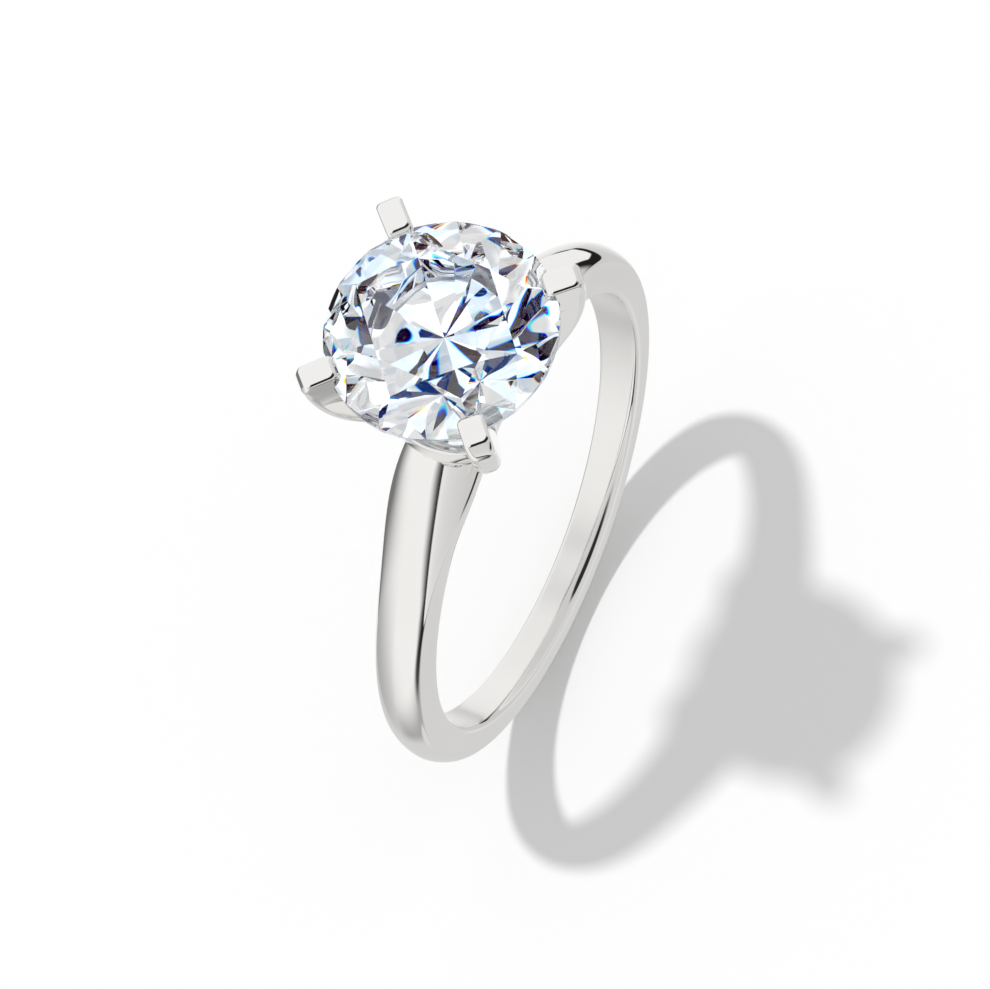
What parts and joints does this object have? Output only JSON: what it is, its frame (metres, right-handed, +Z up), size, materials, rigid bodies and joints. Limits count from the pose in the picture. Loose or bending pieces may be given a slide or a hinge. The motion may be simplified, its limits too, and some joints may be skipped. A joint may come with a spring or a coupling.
{
  "type": "solitaire ring",
  "caption": "Solitaire finger ring: a tapering domed shank with swelling shoulders and a claw head that holds a round brilliant-cut stone.",
  "frame": {"origin": "centre of the finger hole", "axes": "+Z up through the middle of the stone's table, Y along the finger, X along the band"},
  "size_m": [0.02, 0.0081, 0.0261],
  "materials": {
    "shank_metal": "mirror polish, white precious metal",
    "peg_metal": "turned, hidden in the shank",
    "collar_metal": "polished, white precious metal",
    "rail_metal": "polished, white precious metal",
    "claw_metal": "mirror polish, white precious metal",
    "diamond": "clear faceted gemstone, refractive index 2.42"
  },
  "bodies": {
    "root": {"shank": "shank_metal", "head_peg": "peg_metal", "head_collar": "collar_metal", "gallery_rail": "rail_metal", "claw_back_right": "claw_metal", "claw_back_left": "claw_metal", "claw_front_left": "claw_metal", "claw_front_right": "claw_metal", "centre_diamond": "diamond"}
  },
  "joints": []
}
